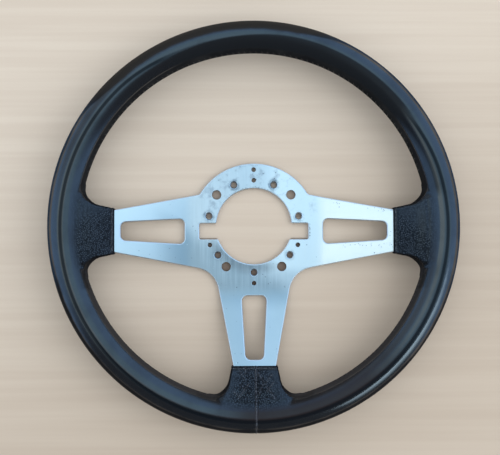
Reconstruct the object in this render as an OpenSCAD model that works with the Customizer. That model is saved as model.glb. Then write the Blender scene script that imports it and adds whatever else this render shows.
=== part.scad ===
// Leather-covered three-spoke steering wheel with a folded aluminium spoke plate.
// It lies face up: +Z points out of the wheel's face, +Y to its top, and the origin is the centre of
// the hub's back face.

/* [Rim] */
// Outside diameter of the finished rim
rim_d = 360; // [300:1:432]
// Thickness of the finished grip, measured over the leather
grip_d = 28.5; // [24:0.5:34]
// Height of the rim's front above the hub's back face
dish = 40.5; // [34:0.5:55]
// Thickness of the leather
leather_t = 1; // [0.8:0.1:1.4]

/* [Hub] */
// Thickness of the spoke plate
plate_t = 4; // [3.2:0.1:5]
// Outside diameter of the hub
hub_d = 114; // [106:1:122]
// Diameter of the hub's central bore
bore_d = 68; // [60:0.5:72]
// Distance across the bore from the end of one notch to the end of the other
notch_span = 98; // [82:1:106]
// Width of each notch
notch_w = 14; // [8:0.5:17]
// How far below the hub's centre the notches and the side spokes lie
side_drop = 4.5; // [0:0.5:6]

/* [Hub holes] */
// Diameter of the circle that the hub screws lie on
screw_pcd = 83; // [80:0.5:88]
// Number of hub screws, with one at the bottom
screw_count = 7; // [6,7]
// Diameter of each hub screw's hole
screw_hole_d = 5.2; // [4.2:0.1:6.4]
// Diameter of the countersink at the front of each screw hole
screw_sink_d = 7; // [6.6:0.1:9]
// Diameter of the four horn peg holes
peg_hole_d = 8.4; // [6:0.1:9]
// Distance between the two upper peg holes
upper_peg_spacing = 67; // [64:0.5:70]
// Distance of the upper peg holes above the hub's centre
upper_peg_y = 28.4; // [26:0.2:31]
// Distance between the two lower peg holes
lower_peg_spacing = 50; // [46:0.5:54]
// Distance of the lower peg holes below the hub's centre
lower_peg_drop = 36.3; // [34:0.2:38]
// Diameter of the small pilot holes
pilot_hole_d = 4; // [3:0.1:5]
// Distance between the top pilot hole and the bottom one
pilot_span = 102.4; // [100:0.2:104]
// Distance of the second top pilot hole above the hub's centre
second_pilot_y = 41.6; // [40:0.2:43]
// Distance between the two side pilot holes
side_pilot_spacing = 79.2; // [78:0.2:84]
// Distance of the side pilot holes below the hub's centre
side_pilot_drop = 16.8; // [16:0.2:18]

/* [Spokes] */
// Width of each spoke at the edge of the hub
spoke_root_w = 64; // [54:1:70]
// Width of each spoke where it goes into its boot
spoke_tip_w = 38; // [32:1:42]
// Radius between each side spoke and the lower spoke
web_fillet_r = 23; // [16:1:26]
// Distance from the wheel's axis to the start of each spoke's forward fold
fold_start = 56; // [50:1:60]
// Inside radius of the fold
fold_r = 30; // [10:1:40]
// Width of each spoke's slot near the hub
slot_root_w = 22.3; // [16:0.1:26]
// Width of each spoke's slot near its boot
slot_tip_w = 15.6; // [12:0.1:20]
// Metal between the hub's edge circle and the slot
slot_hub_margin = 5.5; // [3:0.5:10]
// Metal between the slot and the boot
slot_boot_margin = 5.2; // [3:0.1:12]
// Corner radius of the slots
slot_corner_r = 4.5; // [2:0.1:5.5]

/* [Boots] */
// Length of each leather boot, from the rim's inner edge to its mouth
boot_l = 28.5; // [22:0.5:36]
// Width of each boot where it reaches the rim
boot_base_w = 52; // [44:1:64]
// Radius between the boot's sides and the rim
boot_fillet_r = 14; // [6:0.5:18]
// How far the boot's mouth stands out beside the spoke
boot_side_pad = 1.2; // [1.2:0.1:3]
// How far the boot's mouth stands proud of the spoke's faces
boot_face_pad = 2.2; // [1.8:0.1:4]
// Angle round the grip, from its innermost line, at which the boot's front runs into it
boot_front_deg = 50; // [40:1:56]
// The same angle for the boot's back
boot_back_deg = 60; // [40:1:66]

/* [Core] */
// Diameter of the steel hoop inside the rim
hoop_d = 12; // [8:0.5:14]
// Wall of the hoop's tube
hoop_wall = 1.5; // [1:0.1:2.5]
// Thickness of the lugs that join the spokes to the hoop
lug_t = 2.5; // [1.5:0.1:3]
// Width of each lug
lug_w = 26; // [20:1:28]
// How far each lug reaches inwards past the grip's innermost line
lug_reach = 18.75; // [16:0.25:21]
// Gap between the end of each spoke and the hoop
spoke_end_gap = 2; // [0.5:0.1:3]
// Diameter of the rivets
rivet_d = 5; // [4:0.1:6]
// Diameter of the rivet heads
rivet_head_d = 9; // [7:0.1:10]
// Height of the rivet heads
rivet_head_t = 1.5; // [1:0.1:1.8]
// Distance between the two rivets of a spoke
rivet_pitch = 14; // [10.5:0.5:15]
// Distance of the rivets inwards from the grip's innermost line
rivet_reach = 8.75; // [6:0.25:11]
// How far the foam stops short of the boot's mouth
foam_setback = 3; // [1.5:0.1:5]

/* [Stitching] */
// Diameter of the stitching thread
thread_d = 0.9; // [0.6:0.1:1.4]

/* [Fits] */
// Clearance between the leather, the foam and the metal
fit_gap = 0.1; // [0.05:0.05:0.3]
// Clearance of the rivets in their holes, on the radius
rivet_gap = 0.05; // [0.02:0.01:0.2]
// Clearance between the thread and the leather that it lies on
thread_gap = 0.05; // [0.02:0.01:0.2]

/* [Hidden] */
$fn = 96;

METAL = "silver";
STEEL = "slategray";
FOAM = "dimgray";
LEATHER = [0.09, 0.09, 0.1];
THREAD = [0.02, 0.02, 0.02];

eps = 0.01;
over = 1; // how far a cut runs past the face that it goes through
ARC_STEPS = 10; // straight runs in each rounded corner and fold
grip_r = grip_d / 2;
hoop_r = hoop_d / 2;
ring_r = rim_d / 2 - grip_r; // radius of the grip's centreline
rim_z = dish - grip_r; // height of the grip's centreline
mouth_r = ring_r - grip_r - boot_l; // distance of the boots' mouths from the axis
spoke_end = ring_r - hoop_r - spoke_end_gap;
base_x = ring_r - grip_r - over; // where the boots' straight sides end, just outside the grip

// Each spoke's direction, and the height of its centreline
LEFT = [180, -side_drop];
RIGHT = [0, -side_drop];
LOWER = [-90, 0];
SPOKES = [LEFT, RIGHT, LOWER];

// The fold turns each spoke so that the plane of its middle goes through the hoop's centreline
fold_mid_r = fold_r + plate_t / 2;
fold_rise = rim_z - plate_t / 2 - fold_mid_r;
fold_run = ring_r - fold_start;
fold_deg = atan2(fold_rise, fold_run) + asin(fold_mid_r / norm([fold_rise, fold_run]));

function spoke_half(x) =
    spoke_root_w / 2 + (x - hub_d / 2) * (spoke_tip_w - spoke_root_w) / 2 / (mouth_r - hub_d / 2);
function spoke_mid_z(x) = rim_z - (ring_r - x) * tan(fold_deg);
function boot_half(x) = let (mouth_half = spoke_tip_w / 2 + boot_side_pad)
    mouth_half + (x - mouth_r) * (boot_base_w / 2 - mouth_half) / (base_x - mouth_r);
function grip_point(r, deg) = [ring_r - r * cos(deg), rim_z + r * sin(deg)];
function unit(v) = v / norm(v);
function slope(from, to) = (to[1] - from[1]) / (to[0] - from[0]);

// Puts a shape drawn along +X in the place of a spoke
module at_spoke(spoke) translate([0, spoke[1], 0]) rotate(spoke[0]) children();

// Puts a shape in the plane of a spoke's middle, with its origin on the hoop's centreline
module in_spoke_plane() translate([ring_r, 0, rim_z]) rotate([0, -fold_deg, 0]) children();

function arc(centre, r, from, to) =
    [for (i = [0:ARC_STEPS]) let (a = from + (to - from) * i / ARC_STEPS) centre + r * [cos(a), sin(a)]];

// Fills the corner at p between edges that run along a and b with a fillet, rooted a little inside it
module corner_fillet(p, a, b, r) {
    bisector = unit(unit(a) + unit(b));
    half_angle = acos(unit(a) * unit(b)) / 2;
    centre = p + bisector * r / sin(half_angle);
    towards = atan2(-bisector[1], -bisector[0]);
    side = sign(a[0] * b[1] - a[1] * b[0]);
    sweep = side * (90 - half_angle);
    polygon(concat([p - bisector * over], arc(centre, r, towards - sweep, towards + sweep)));
}

// A ring of round section about the wheel's axis
module ring(r) translate([0, 0, rim_z]) rotate_extrude() translate([ring_r, 0]) circle(r);

// ---- Spoke plate ----

module spoke_outline(grow = 0)
    polygon([[0, spoke_half(0) + grow], [0, -spoke_half(0) - grow],
        [spoke_end + grow, -spoke_half(spoke_end) - grow], [spoke_end + grow, spoke_half(spoke_end) + grow]]);

// The corner where a side spoke's lower edge would meet the lower spoke's edge
module web_fillet() {
    taper = spoke_half(1) - spoke_half(0);
    x = (spoke_half(0) + taper * (side_drop + spoke_half(0))) / (1 - taper * taper);
    y = side_drop + spoke_half(x);
    corner_fillet([x, -y], [1, -taper], [taper, -1], web_fillet_r);
}

function slot_half(x) = let (near = hub_d / 2 + slot_hub_margin, far = mouth_r - slot_boot_margin)
    slot_root_w / 2 + (x - near) * (slot_tip_w - slot_root_w) / 2 / (far - near);

module slot_outline() {
    r = slot_corner_r;
    near = hub_d / 2 + slot_hub_margin;
    far = mouth_r - slot_boot_margin;
    taper = atan2(slot_half(near) - slot_half(far), far - near);
    near_y = slot_half(near + r) - r / cos(taper);
    far_y = slot_half(far - r) - r / cos(taper);
    polygon(concat(arc([near + r, near_y], r, 180, 90 - taper), arc([far - r, far_y], r, 90 - taper, 0),
        arc([far - r, -far_y], r, 0, taper - 90), arc([near + r, -near_y], r, taper - 90, -180)));
}

module plate_outline() difference() {
    union() {
        circle(d = hub_d);
        for (spoke = SPOKES) at_spoke(spoke) spoke_outline();
        web_fillet();
        mirror([1, 0]) web_fillet();
    }
    for (spoke = SPOKES) at_spoke(spoke) slot_outline();
    translate([-notch_span / 2, -side_drop - notch_w / 2]) square([notch_span, notch_w]);
}

// The zone of the plan, at the foot of every spoke, that stays flat
module flat_zone() translate([-fold_start, -fold_start]) square([2 * fold_start, fold_start + hub_d]);

// The side view of one spoke's part of the sheet: the fold, and the straight run beyond it
module folded_profile() {
    centre = [fold_start, plate_t + fold_r];
    outer = arc(centre, fold_r + plate_t, -90, fold_deg - 90);
    inner = arc(centre, fold_r, fold_deg - 90, -90);
    run = ring_r * [cos(fold_deg), sin(fold_deg)];
    polygon(concat(outer, [outer[ARC_STEPS] + run, inner[0] + run], inner));
}

module folded_wing() rotate([90, 0, 0]) linear_extrude(2 * fold_start, center = true) folded_profile();

module through_hole(d) translate([0, 0, -over]) cylinder(d = d, h = plate_t + 2 * over);

module hub_holes() {
    sink_h = (screw_sink_d - screw_hole_d) / 2;
    for (i = [0:screw_count - 1]) rotate(i * 360 / screw_count) translate([0, -screw_pcd / 2]) {
        through_hole(screw_hole_d);
        translate([0, 0, plate_t - sink_h])
            cylinder(d1 = screw_hole_d, d2 = screw_sink_d + 2 * eps, h = sink_h + eps);
    }
    for (side = [-1, 1]) {
        translate([side * upper_peg_spacing / 2, upper_peg_y]) through_hole(peg_hole_d);
        translate([side * lower_peg_spacing / 2, -lower_peg_drop]) through_hole(peg_hole_d);
        translate([0, side * pilot_span / 2]) through_hole(pilot_hole_d);
        translate([side * side_pilot_spacing / 2, -side_pilot_drop]) through_hole(pilot_hole_d);
    }
    translate([0, second_pilot_y]) through_hole(pilot_hole_d);
}

module rivet_places() for (side = [-1, 1])
    in_spoke_plane() translate([-grip_r - rivet_reach, side * rivet_pitch / 2]) children();

module spoke_plate() color(METAL) difference() {
    union() {
        linear_extrude(plate_t) intersection() {
            plate_outline();
            flat_zone();
        }
        for (spoke = SPOKES) intersection() {
            linear_extrude(rim_z + grip_r) plate_outline();
            rotate(spoke[0]) folded_wing();
        }
    }
    through_hole(bore_d);
    hub_holes();
    for (spoke = SPOKES) at_spoke(spoke) rivet_places()
        cylinder(d = rivet_d + 2 * rivet_gap, h = 2 * plate_t, center = true);
}

// ---- Core: hoop, lugs, rivets and foam ----

module rim_hoop() color(STEEL) translate([0, 0, rim_z]) rotate_extrude() translate([ring_r, 0])
    difference() {
        circle(hoop_r);
        circle(hoop_r - hoop_wall);
    }

module lug_blank(grow = 0) in_spoke_plane()
    translate([-grip_r - lug_reach - grow, -lug_w / 2 - grow, plate_t / 2])
        cube([grip_r + lug_reach + grow, lug_w + 2 * grow, lug_t + grow]);

module lug(spoke) color(STEEL) difference() {
    at_spoke(spoke) lug_blank();
    ring(hoop_r);
    at_spoke(spoke) rivet_places() cylinder(d = rivet_d + 2 * rivet_gap, h = 3 * plate_t, center = true);
}

module rivet(grow = 0) {
    front = plate_t / 2 + lug_t;
    back = plate_t / 2;
    translate([0, 0, -back]) cylinder(d = rivet_d, h = back + front);
    translate([0, 0, front]) cylinder(d = rivet_head_d + 2 * grow, h = rivet_head_t + grow);
    translate([0, 0, -back - rivet_head_t - grow]) cylinder(d = rivet_head_d + 2 * grow, h = rivet_head_t + grow);
}

module rivets(spoke) color(STEEL) at_spoke(spoke) rivet_places() rivet();

// The boot's side view: a wedge from the mouth into the grip, drawn inset below the leather's face
module boot_profile(inset, setback) {
    half_t = plate_t / 2 / cos(fold_deg) + boot_face_pad;
    front = [mouth_r, spoke_mid_z(mouth_r) + half_t];
    back = [mouth_r, spoke_mid_z(mouth_r) - half_t];
    rise = slope(front, grip_point(grip_r, boot_front_deg));
    back_rise = slope(back, grip_point(grip_r, -boot_back_deg));
    polygon([front + [setback, setback * rise - inset * norm([1, rise])],
        grip_point(grip_r - inset, boot_front_deg), [ring_r, rim_z], grip_point(grip_r - inset, -boot_back_deg),
        back + [setback, setback * back_rise + inset * norm([1, back_rise])]]);
}

// The boot's plan: straight sides that flare into the rim
module boot_outline(inset, setback) {
    start = mouth_r + setback;
    end = base_x + inset;
    a = [start, boot_half(start) - inset];
    b = [end, boot_half(end) - inset];
    c = [ring_r, b[1]];
    polygon([a, b, c, [c[0], -c[1]], [b[0], -b[1]], [a[0], -a[1]]]);
    for (flip = [0, 1]) mirror([0, flip]) corner_fillet(b, a - b, [0, 1], boot_fillet_r + inset);
}

module boot(inset = 0, setback = 0) intersection() {
    linear_extrude(2 * dish) boot_outline(inset, setback);
    rotate([90, 0, 0]) linear_extrude(rim_d / 2, center = true) boot_profile(inset, setback);
}

// The rim and its three boots as one solid, at a depth below the leather's face
module rim_body(inset = 0, setback = 0) {
    ring(grip_r - inset);
    for (spoke = SPOKES) at_spoke(spoke) boot(inset, setback);
}

// The room that a spoke takes up inside its boot
module spoke_passage() intersection() {
    linear_extrude(2 * dish) difference() {
        spoke_outline(fit_gap);
        translate([0, -hub_d]) square([mouth_r - over, 2 * hub_d]);
    }
    in_spoke_plane() cube([2 * ring_r, rim_d, plate_t + 2 * fit_gap], center = true);
}

module rim_foam() color(FOAM) difference() {
    rim_body(leather_t + fit_gap, foam_setback);
    ring(hoop_r + fit_gap);
    for (spoke = SPOKES) at_spoke(spoke) {
        spoke_passage();
        lug_blank(fit_gap);
        rivet_places() rivet(fit_gap);
    }
}

// ---- Leather and stitching ----

module rim_leather() color(LEATHER) difference() {
    rim_body();
    rim_body(leather_t, leather_t);
    for (spoke = SPOKES) at_spoke(spoke) spoke_passage();
}

// Angle from a spoke's own direction to where the seam clears the boot's flare, on one side of it
function seam_clear(offset) = asin((boot_base_w / 2 + boot_fillet_r + offset) / (ring_r - grip_r));

// A run of the laced seam along the rim's innermost line
module rim_stitching(from, to) color(THREAD) translate([0, 0, rim_z]) rotate(from)
    rotate_extrude(angle = to - from)
        translate([ring_r - grip_r - thread_gap - thread_d / 2, 0]) circle(d = thread_d, $fn = 16);

// The boot's own laced seam, along the middle of its back
module boot_stitching(spoke) {
    back_z = spoke_mid_z(mouth_r) - plate_t / 2 / cos(fold_deg) - boot_face_pad;
    tilt = atan(slope([mouth_r, back_z], grip_point(grip_r, -boot_back_deg)));
    color(THREAD) at_spoke(spoke) translate([mouth_r, 0, back_z]) rotate([0, 90 - tilt, 0])
        translate([thread_gap + thread_d / 2, 0, over])
            cylinder(d = thread_d, h = boot_l - 2 * over, $fn = 16);
}

module left_lug() lug(LEFT);
module right_lug() lug(RIGHT);
module lower_lug() lug(LOWER);
module left_rivets() rivets(LEFT);
module right_rivets() rivets(RIGHT);
module lower_rivets() rivets(LOWER);
module upper_rim_stitching() rim_stitching(seam_clear(-side_drop), 180 - seam_clear(-side_drop));
module lower_left_rim_stitching() rim_stitching(180 + seam_clear(side_drop), 270 - seam_clear(0));
module lower_right_rim_stitching() rim_stitching(seam_clear(0) - 90, -seam_clear(side_drop));
module left_boot_stitching() boot_stitching(LEFT);
module right_boot_stitching() boot_stitching(RIGHT);
module lower_boot_stitching() boot_stitching(LOWER);

spoke_plate();
rim_hoop();
left_lug();
right_lug();
lower_lug();
left_rivets();
right_rivets();
lower_rivets();
rim_foam();
rim_leather();
upper_rim_stitching();
lower_left_rim_stitching();
lower_right_rim_stitching();
left_boot_stitching();
right_boot_stitching();
lower_boot_stitching();
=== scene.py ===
"""A leather-covered three-spoke steering wheel lying face up on a pale floor.

Every piece is made in metres in the CAD frame: +Z out of the wheel's face, +Y to its top.
"""

import bmesh
import bpy
import numpy as np
from math import acos, asin, atan, cos, degrees, pi, radians, sin
from mathutils import Matrix, Vector
from types import SimpleNamespace as Group


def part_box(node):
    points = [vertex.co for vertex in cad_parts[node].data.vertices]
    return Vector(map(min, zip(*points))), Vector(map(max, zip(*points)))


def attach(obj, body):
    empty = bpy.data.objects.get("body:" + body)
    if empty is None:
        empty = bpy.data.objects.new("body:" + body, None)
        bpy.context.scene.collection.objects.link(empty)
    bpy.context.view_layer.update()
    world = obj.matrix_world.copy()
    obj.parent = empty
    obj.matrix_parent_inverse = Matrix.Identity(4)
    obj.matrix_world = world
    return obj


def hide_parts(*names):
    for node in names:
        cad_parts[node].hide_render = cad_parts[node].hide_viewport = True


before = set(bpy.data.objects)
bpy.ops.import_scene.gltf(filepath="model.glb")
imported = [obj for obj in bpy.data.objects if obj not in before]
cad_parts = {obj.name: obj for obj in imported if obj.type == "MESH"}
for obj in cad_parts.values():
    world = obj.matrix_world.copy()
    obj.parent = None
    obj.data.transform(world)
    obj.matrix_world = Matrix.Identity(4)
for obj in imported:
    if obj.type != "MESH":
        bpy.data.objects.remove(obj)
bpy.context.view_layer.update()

MM = 0.001
SHORT = 1e-9  # nothing shorter is divided by

# ---- The wheel's own sizes, in millimetres ----

leather_low, leather_high = (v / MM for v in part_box("rim_leather"))
GRIP_R = (leather_high.z - leather_low.z) / 2
RING_R = leather_high.x - GRIP_R
RIM_Z = (leather_high.z + leather_low.z) / 2
INNER_R = RING_R - GRIP_R

MOUTH_R = INNER_R - 28.5  # distance of the boots' mouths from the axis
MOUTH_HALF = 20.2  # half the boot's width at its mouth
BASE_HALF = 26.0  # and where it reaches the grip
FLARE_R = 14.0  # radius between the boot's sides and the rim
FLARE_HALF_T = 1.5  # half the flare's thickness where it ends on the rim
FRONT_Z, FRONT_RISE = 20.73, 0.489  # height of the boot's front at the mouth, and its slope
BACK_Z, BACK_RISE = 12.23, 0.047
BOOT_END_R = 157.0  # where the boot's wedge ends, inside the grip
FRONT_DRAW_IN, BACK_DRAW_IN = 2.2, 1.5  # how far its front and back draw in on the way there
BOOT_CROWN = 0.5  # how much fuller the boots are along their middles
BOOT_BLEND = 4.0  # softness of the join between a boot and the rim
SIDE_DROP = 4.5  # how far below the axis the side spokes lie
LEATHER_T = 1.1
BACK_TOP = FRONT_Z - 4.2  # leather below this height belongs to a boot's back
FOAM_SETBACK = 3.0  # from the boots' mouths to where the foam begins
HOOP_R, HOOP_ROOM = 6.0, 0.1  # the hoop, and the clearance that the foam leaves round it

# Each spoke's direction in degrees and the height of its centreline
SPOKES = {"left": (180, -SIDE_DROP), "right": (0, -SIDE_DROP), "lower": (-90, 0)}

# The laced seam: its holes lie this far round the grip from its innermost line
HOLE_DEG = 21.6
LACE_PITCH_DEG = 1.91
LACE_SLANT = 2.6
BOOT_LACE_FROM, BOOT_LACE_PITCH, BOOT_LACE_COUNT = 5.0, 4.2, 6  # from the boot's mouth, outwards
BOOT_LACE_HALF, BOOT_LACE_SLANT = 3.4, 2.0
THREAD_D = 0.9
THREAD_DIP = 1.3  # how deep a thread's ends dip into the leather, in thread widths
LACE_DEPTH = 0.435  # how deep a thread's middle line lies below the grip's plain form
SEAM_DEPTH, SEAM_SPREAD = 0.6, 0.5  # the groove in which the cover's edges meet
BAND_W, BAND_DEPTH = 2.45, 0.2  # the duller band along the seam, seen from the front
BOOT_BAND_W, BOOT_BAND_DEPTH = 1.3, 0.08  # and the dark strip down the boots' sides
CREST_LINE_W = 1.1  # spread of the pressed line along the crest
CREST_LINE_DEPTH = 0.22
CREST_LINE_OUT, CREST_LINE_SLANT = 0.5, -1.5  # its distance out from the crest, and how that grows to the top
CREST_LINE_SHIFT, SHIFT_AT = -2.7, 75  # its further shift, and where round the wheel that is greatest
HEM_AT, HEM_REACH = 1.5, 14  # the hem's ridge and all that belongs to it, from the mouth
JOINT_AT, JOINT_BELOW = 0.8, -100  # the joint of the cover's ends: its x, and the y where it begins

# Lines pressed up or down in the leather: place, height and spread
HEM_LINES = (HEM_AT, 0.22, 0.4), (HEM_AT + 1.2, -0.2, 0.45)
JOINT_LINES = (JOINT_AT, 0.26, 0.45), (JOINT_AT + 1.1, -0.3, 0.45), (JOINT_AT - 1.1, -0.22, 0.45)
BACK_SEAM = ((0, -0.5, 0.45),)

# Creases in the lower boot's face, from (x, y) to (x, y), and the y that all lie below
CREASE_RISE, CREASE_SPREAD, CREASES_BELOW = 0.16, 0.33, -118
CREASES = [
    ((-5.1, -137.0), (-14.6, -148.9)),
    ((-12.4, -137.4), (-9.6, -141.2)),
    ((-18.5, -143.4), (-13.6, -147.4)),
    ((2.6, -128.6), (16.9, -149.0)),
    ((15.2, -129.6), (9.4, -136.4)),
    ((16.2, -136.0), (10.2, -143.5)),
    ((6.8, -137.6), (3.2, -145.9)),
    ((-8.2, -122.4), (-8.4, -129.2)),
    ((-15.0, -124.2), (-9.0, -133.8)),
]

# The spoke plate
EDGE_BREAK, SMALL_HOLE_BREAK = 1.1, 0.2  # width of the broken edges, and the small holes' share of it
SMALL_HOLE = 12  # the width below which a hole is a small one
FOLD_FROM, FOLD_TO = 52.0, 72.0  # where the flat hub starts to bend and where the straight arms start
DROPPED_LINES = (60.9, 62.4), (63.3, 63.8)  # places along a spoke where a fold's lines are dissolved
LAST_LINE = 62.6, 62.9  # where the last line that stays lies
ARM_FROM = 64.0  # beyond every line of a fold
SHARP = radians(30)  # the angle between two faces that makes their edge a sharp one
LEAD_IN = 4.4  # how far from its end that last line turns into the slot's corner
NOTCH_CORNER = 49, 7  # the notches' outer corners, from the axis and from the side spokes' middle
SCREW_CIRCLE_R, SCREWS = 41.5, 7  # the hub's screw holes, one of them at the bottom


# ---- Small helpers for fields and meshes ----


def smooth_step(x, low, high):
    """0 below low, 1 above high, and a smooth rise between them."""
    t = np.clip((x - low) / (high - low), 0, 1)
    return t * t * (3 - 2 * t)


def blended(a, b, reach):
    """Union of two distance fields with a soft join."""
    h = np.clip(0.5 + 0.5 * (b - a) / reach, 0, 1)
    return b + (a - b) * h - reach * h * (1 - h)


def filleted(a, b, r):
    """Union of two distance fields with a round fillet of radius r."""
    u, v = np.maximum(r - a, 0), np.maximum(r - b, 0)
    return np.maximum(r, np.minimum(a, b)) - np.hypot(u, v)


def rounded(a, b, r):
    """The space inside both fields, with the edge between them rounded to radius r."""
    u, v = np.maximum(a + r, 0), np.maximum(b + r, 0)
    return np.minimum(-r, np.maximum(a, b)) + np.hypot(u, v)


def ridge(x, at, spread):
    """A bump of height 1 along the line x = at."""
    return np.exp(-0.5 * ((x - at) / spread) ** 2)


def pressed(x, lines):
    """Height of a few pressed lines, each given by its place, height and spread."""
    return sum(height * ridge(x, at, spread) for at, height, spread in lines)


def spoke_axes(x, y, spoke):
    """A point's distance along a spoke from the axis and across it."""
    turn, drop = SPOKES[spoke]
    c, s = cos(radians(turn)), sin(radians(turn))
    return x * c + (y - drop) * s, (y - drop) * c - x * s


def placed(name, data):
    """A new object of the scene."""
    thing = bpy.data.objects.new(name, data)
    bpy.context.scene.collection.objects.link(thing)
    return thing


def made_mesh(thing, name):
    """What an object's modifiers make of it, as a mesh of its own; the object goes."""
    graph = bpy.context.evaluated_depsgraph_get()
    mesh = bpy.data.meshes.new_from_object(thing.evaluated_get(graph))
    bpy.data.objects.remove(thing)
    mesh.name = name
    return mesh


def keep(name, mesh, material, body="root"):
    """A finished piece, at the origin, riding on its body."""
    piece = placed(name, mesh)
    mesh.materials.clear()
    mesh.materials.append(material)
    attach(piece, body)
    return piece


# ---- The leather's form as a distance field, in millimetres ----


def boot_sides(x, y, spoke):
    """A point's distance along a spoke, across it, and outside its boot's straight sides."""
    along, across = spoke_axes(x, y, spoke)
    half = MOUTH_HALF + (along - MOUTH_R) * (BASE_HALF - MOUTH_HALF) / (INNER_R - 1 - MOUTH_R)
    return along, across, np.abs(across) - half


def edge_distance(x, y):
    """How far in from the cover's inner outline a point lies, seen from the front."""
    ring = INNER_R - np.hypot(x, y)
    outline = ring
    for spoke in SPOKES:
        along, _, outside = boot_sides(x, y, spoke)
        outside = np.where(along > 0, np.maximum(outside, MOUTH_R - along), 99)
        outline = np.minimum(outline, filleted(outside, ring, FLARE_R))
    return -outline


def boot_field(x, y, z, rho, spoke, inset, setback):
    """One boot: a wedge round the spoke that flares into the rim."""
    along, across, outside = boot_sides(x, y, spoke)
    # Towards the ends of the flare the wedge thins down to the grip's innermost line
    flare = smooth_step(outside, 0, FLARE_R)
    reach, drawn_in = rho - MOUTH_R, smooth_step(rho, INNER_R - 1.5, BOOT_END_R + 1)
    front = FRONT_Z + FRONT_RISE * reach - FRONT_DRAW_IN * drawn_in
    back = BACK_Z + BACK_RISE * reach + BACK_DRAW_IN * drawn_in
    front = front + (RIM_Z + FLARE_HALF_T - front) * flare - inset
    back = back + (RIM_Z - FLARE_HALF_T - back) * flare + inset
    # A leather face stretched over a plate is a little fuller in the middle
    crown = BOOT_CROWN * np.clip(1 - (across / BASE_HALF) ** 2, 0, 1) * smooth_step(rho, INNER_R, 140)
    middle, half_t = (front + back) / 2, (front - back) / 2
    height = np.where(z > middle, (z - front - crown) * 0.9, (back - z))
    height = np.maximum(height, np.abs(z - middle) - half_t - crown)
    side = filleted(outside + inset, INNER_R + inset - rho, FLARE_R)
    side = np.maximum(side, outside - FLARE_R)
    rounding = 1.6 + 2.6 * smooth_step(along, MOUTH_R + 8, INNER_R + 2)
    rounding = np.minimum(rounding, 0.8 * half_t)
    wedge = rounded(height, side, rounding)
    mouth = MOUTH_R + setback - along
    wedge = rounded(wedge, mouth, 0.5)
    return np.maximum(wedge, rho - BOOT_END_R + inset)


def rim_field(x, y, z, inset=0.0, setback=0.0, detail=True):
    """Distance from the leather's face: negative inside."""
    rho = np.hypot(x, y)
    out, up = rho - RING_R, z - RIM_Z
    body = np.hypot(out, up) - (GRIP_R - inset)
    for spoke in SPOKES:
        body = blended(body, boot_field(x, y, z, rho, spoke, inset, setback), BOOT_BLEND)
    return body - details(x, y, z, rho) if detail else body


def crest_place(x, y, rho, smooth):
    """How far out from the grip's crest the pressed line lies, and its share of the shift there."""
    turned = (x * cos(radians(SHIFT_AT)) + y * sin(radians(SHIFT_AT))) / rho
    shifted = smooth(turned, 0.5, 0.88)
    return CREST_LINE_OUT + CREST_LINE_SLANT * y / rho + CREST_LINE_SHIFT * shifted, shifted


def band_width(plain):
    """Width of the band along the seam: wide on the plain rim, narrow down the boots' sides."""
    return BOOT_BAND_W + (BAND_W - BOOT_BAND_W) * plain


def details(x, y, z, rho):
    """How far the leather's face stands above its plain form: seams, hems and pressed lines."""
    out, up = rho - RING_R, z - RIM_Z
    across_seam = (np.arctan2(-out, up) - pi / 2) * GRIP_R
    plain = 1 - boot_mask(x, y)
    crest, shifted = crest_place(x, y, rho, smooth_step)
    rise = -CREST_LINE_DEPTH * (1 - 0.75 * shifted) * ridge(out, crest, CREST_LINE_W) * (up > 0)
    # The strip along the laced seam lies lower, and its edges meet in a groove
    in_band = smooth_step(edge_distance(x, y) - band_width(plain), 0.3, -0.3) * (out < 0)
    rise = rise - (BOOT_BAND_DEPTH + (BAND_DEPTH - BOOT_BAND_DEPTH) * plain) * in_band
    rise = rise - SEAM_DEPTH * plain * ridge(across_seam, 0, SEAM_SPREAD)
    for spoke in SPOKES:
        along, across = spoke_axes(x, y, spoke)
        on_spoke = smooth_step(along, 60, 100) * smooth_step(np.abs(across), 40, 32)
        hem = along - MOUTH_R
        rise = rise + on_spoke * (hem < HEM_REACH) * pressed(hem, HEM_LINES)
        # The back is closed by a butt seam down the middle
        back = (z <= BACK_TOP) & (along < INNER_R + 6)
        rise = rise + on_spoke * back * pressed(across, BACK_SEAM)
    # The cover's own joint crosses the lower boot and the rim
    joint = (y < JOINT_BELOW) & (z > RIM_Z - 12)
    rise = rise + joint * pressed(x, JOINT_LINES)
    if (y < CREASES_BELOW).any():
        rise = rise + CREASE_RISE * creases(x, y) * (z > FRONT_Z - 4)
    return rise


def creases(x, y):
    """1 along the creases in the lower boot's face."""
    line = np.zeros_like(x)
    for (ax, ay), (bx, by) in CREASES:
        dx, dy = bx - ax, by - ay
        t = np.clip(((x - ax) * dx + (y - ay) * dy) / (dx * dx + dy * dy), 0, 1)
        off = np.hypot(x - ax - t * dx, y - ay - t * dy)
        line = np.maximum(line, ridge(off, 0, CREASE_SPREAD))
    return line


def raised_line_highlights(x, y):
    """1 along the raised lines that carry a paler painted highlight: the hems, the joint and the creases."""
    lines = ridge(x, JOINT_AT, 0.42) * (y < JOINT_BELOW)
    lines = np.maximum(lines, 0.8 * creases(x, y))
    for spoke in SPOKES:
        along, across = spoke_axes(x, y, spoke)
        hem = ridge(along, MOUTH_R + HEM_AT, 0.28) * smooth_step(np.abs(across), 20.5, 18.5)
        lines = np.maximum(lines, hem)
    return lines


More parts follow.
